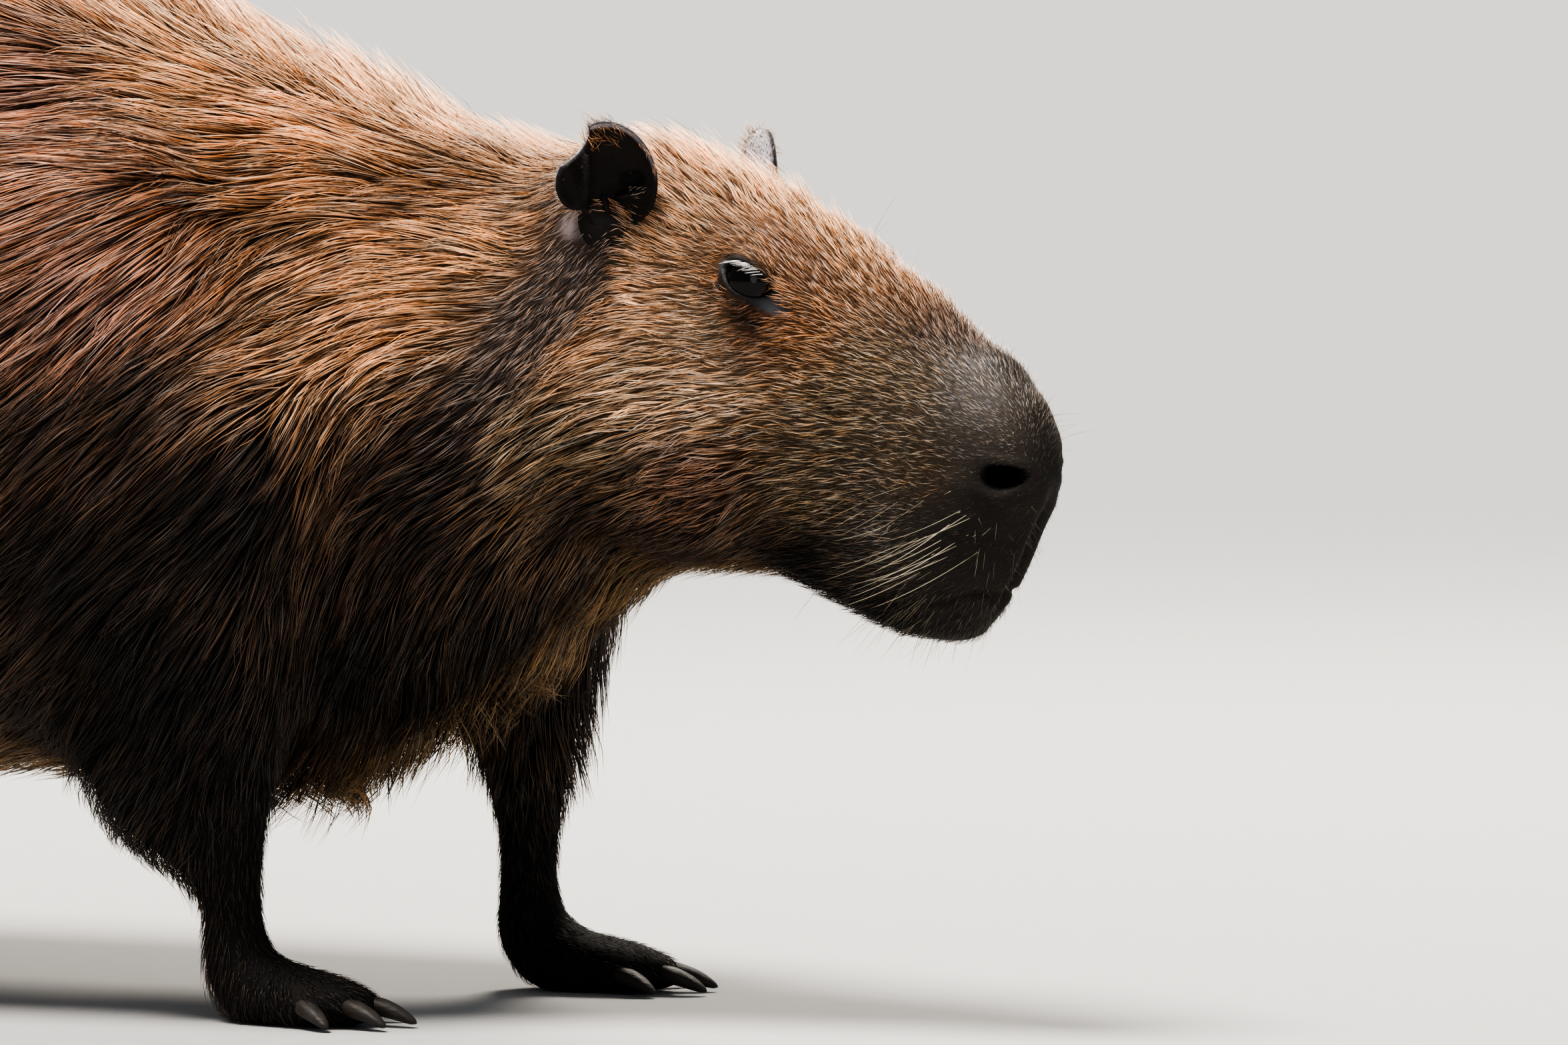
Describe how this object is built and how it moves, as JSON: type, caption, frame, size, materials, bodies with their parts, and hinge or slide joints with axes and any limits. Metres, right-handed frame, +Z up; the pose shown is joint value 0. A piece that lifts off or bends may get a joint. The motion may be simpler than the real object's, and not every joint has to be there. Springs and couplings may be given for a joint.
{
  "type": "capybara",
  "caption": "Life-size still model of a standing adult capybara, head low and stretched forward, as in a museum display.",
  "frame": {"origin": "centre of the whole box at floor level, under the belly", "axes": "+X from rump to nose, +Y to the animal's left, +Z up"},
  "size_m": [1.1968, 0.3774, 0.5586],
  "materials": {
    "coat": "coarse golden brown hair",
    "eye": "wet black",
    "ear_skin": "bare dark skin",
    "claw": "dark horn",
    "foot_skin": "dark skin with short hair"
  },
  "bodies": {
    "root": {"head": "coat", "lower_jaw": "coat", "neck": "coat", "shoulders": "coat", "barrel": "coat", "rump": "coat", "tail": "coat", "leg_front_left": "coat", "leg_front_right": "coat", "leg_hind_left": "coat", "leg_hind_right": "coat", "foot_front_left": "foot_skin", "foot_front_right": "foot_skin", "foot_hind_left": "foot_skin", "foot_hind_right": "foot_skin", "ear_left": "ear_skin", "ear_right": "ear_skin", "eye_left": "eye", "eye_right": "eye", "claw_front_left_1": "claw", "claw_front_left_2": "claw", "claw_front_left_3": "claw", "claw_front_left_4": "claw", "claw_front_right_1": "claw", "claw_front_right_2": "claw", "claw_front_right_3": "claw", "claw_front_right_4": "claw", "claw_hind_left_1": "claw", "claw_hind_left_2": "claw", "claw_hind_left_3": "claw", "claw_hind_right_1": "claw", "claw_hind_right_2": "claw", "claw_hind_right_3": "claw"}
  },
  "joints": []
}
